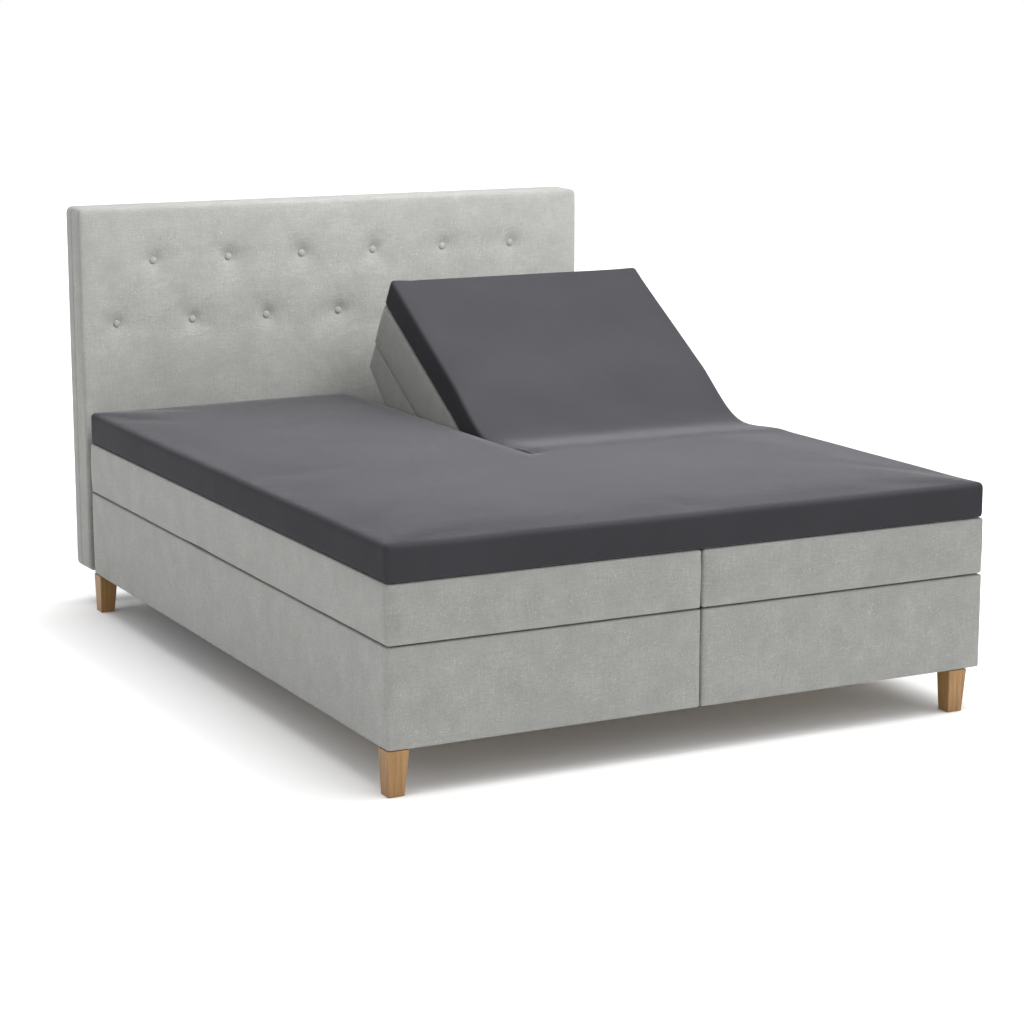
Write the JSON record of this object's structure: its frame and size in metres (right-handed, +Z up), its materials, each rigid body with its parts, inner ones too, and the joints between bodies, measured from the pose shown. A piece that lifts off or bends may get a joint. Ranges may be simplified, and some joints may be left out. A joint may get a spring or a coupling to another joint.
{
  "type": "adjustable bed base",
  "caption": "Upholstered double adjustable bed: side-by-side units with motor-lifted back and leg sections, split mattresses, shared topper, buttoned headboard and wooden legs.",
  "frame": {"origin": "on the floor under the middle of the whole bed, headboard included", "axes": "+X to the right seen from the foot end, +Y from the foot end to the headboard, +Z up"},
  "size_m": [1.6, 2.17, 1.13],
  "materials": {
    "grey_weave": "matte",
    "dark_sheet": "matte",
    "oak": "satin",
    "headboard_wood": "matte",
    "plywood": "satin",
    "black_steel": "satin",
    "zinc_steel": "satin",
    "motor_plastic": "matte"
  },
  "bodies": {
    "base": {"headboard_pad": "grey_weave", "headboard_board": "headboard_wood", "headboard_bracket_left": "black_steel", "headboard_bracket_right": "black_steel", "centre_leg_foot": "black_steel", "centre_leg_head": "black_steel", "base_side_outer_left": "grey_weave", "base_foot_left": "grey_weave", "base_side_inner_left": "grey_weave", "base_head_left": "grey_weave", "leg_foot_left": "oak", "leg_head_left": "oak", "mechanism_frame_left": "black_steel", "motor_left": "motor_plastic", "seat_platform_left": "plywood", "mattress_seat_left": "grey_weave", "mattress_back_bend_left": "grey_weave", "topper_back_bend_left": "dark_sheet", "mattress_hip_bend_left": "grey_weave", "base_side_outer_right": "grey_weave", "base_foot_right": "grey_weave", "base_side_inner_right": "grey_weave", "base_head_right": "grey_weave", "leg_foot_right": "oak", "leg_head_right": "oak", "mechanism_frame_right": "black_steel", "motor_right": "motor_plastic", "seat_platform_right": "plywood", "mattress_seat_right": "grey_weave", "mattress_back_bend_right": "grey_weave", "topper_back_bend_right": "dark_sheet", "mattress_hip_bend_right": "grey_weave", "topper_seat": "dark_sheet", "topper_hip_bend": "dark_sheet"},
    "back_left": {"back_tray_left": "plywood", "back_lift_arm_left": "black_steel", "mattress_back_left": "grey_weave", "topper_back_left": "dark_sheet"},
    "thigh_left": {"thigh_platform_left": "plywood", "thigh_lift_arm_left": "black_steel", "knee_hinge_left": "zinc_steel", "mattress_thigh_left": "grey_weave", "topper_thigh": "dark_sheet"},
    "calf_left": {"calf_platform_left": "plywood", "mattress_calf_left": "grey_weave", "topper_calf": "dark_sheet"},
    "back_drive_left": {"back_rod_left": "zinc_steel"},
    "leg_drive_left": {"leg_rod_left": "zinc_steel"},
    "back_right": {"back_tray_right": "plywood", "back_lift_arm_right": "black_steel", "mattress_back_right": "grey_weave", "topper_back_right": "dark_sheet"},
    "thigh_right": {"thigh_platform_right": "plywood", "thigh_lift_arm_right": "black_steel", "knee_hinge_right": "zinc_steel", "mattress_thigh_right": "grey_weave"},
    "calf_right": {"calf_platform_right": "plywood", "mattress_calf_right": "grey_weave"},
    "back_drive_right": {"back_rod_right": "zinc_steel"},
    "leg_drive_right": {"leg_rod_right": "zinc_steel"}
  },
  "joints": [
    {"name": "back_lift_left", "type": "hinge", "parent": "base", "child": "back_left", "pos_m": [-0.3985, 0.125, 0.233], "axis": [1, 0, 0], "range_deg": [0, 62], "deforming": ["mattress_back_bend_left", "topper_back_bend_left"]},
    {"name": "thigh_lift_left", "type": "hinge", "parent": "base", "child": "thigh_left", "pos_m": [-0.3985, -0.295, 0.29], "axis": [-1, 0, 0], "range_deg": [0, 30], "deforming": ["mattress_hip_bend_left", "topper_hip_bend"]},
    {"name": "calf_fold_left", "type": "hinge", "parent": "thigh_left", "child": "calf_left", "pos_m": [-0.3985, -0.625, 0.308], "axis": [1, 0, 0], "range_deg": [0, 48]},
    {"name": "back_drive_slide_left", "type": "slide", "parent": "base", "child": "back_drive_left", "axis": [0, 1, 0], "range_m": [0, 0.08757]},
    {"name": "leg_drive_slide_left", "type": "slide", "parent": "base", "child": "leg_drive_left", "axis": [0, -1, 0], "range_m": [0, 0.07041]},
    {"name": "back_lift_right", "type": "hinge", "parent": "base", "child": "back_right", "pos_m": [0.3985, 0.125, 0.233], "axis": [1, 0, 0], "range_deg": [-31.5, 30.5], "deforming": ["mattress_back_bend_right", "topper_back_bend_right"]},
    {"name": "thigh_lift_right", "type": "hinge", "parent": "base", "child": "thigh_right", "pos_m": [0.3985, -0.295, 0.29], "axis": [-1, 0, 0], "range_deg": [0, 30], "deforming": ["mattress_hip_bend_right"]},
    {"name": "calf_fold_right", "type": "hinge", "parent": "thigh_right", "child": "calf_right", "pos_m": [0.3985, -0.625, 0.308], "axis": [1, 0, 0], "range_deg": [0, 48]},
    {"name": "back_drive_slide_right", "type": "slide", "parent": "base", "child": "back_drive_right", "axis": [0, 1, 0], "range_m": [-0.04449, 0.04308]},
    {"name": "leg_drive_slide_right", "type": "slide", "parent": "base", "child": "leg_drive_right", "axis": [0, -1, 0], "range_m": [0, 0.07041]}
  ],
  "couplings": [
    {"joint": "back_drive_slide_left", "follows": "back_lift_left", "m_per_rad": 0.080913},
    {"joint": "calf_fold_left", "follows": "thigh_lift_left", "ratio": 1.6},
    {"joint": "leg_drive_slide_left", "follows": "thigh_lift_left", "m_per_rad": 0.13445},
    {"joint": "back_drive_slide_right", "follows": "back_lift_right", "m_per_rad": 0.080913},
    {"joint": "calf_fold_right", "follows": "thigh_lift_left", "ratio": 1.6},
    {"joint": "leg_drive_slide_right", "follows": "thigh_lift_left", "m_per_rad": 0.13445},
    {"joint": "thigh_lift_right", "follows": "thigh_lift_left", "ratio": 1}
  ]
}
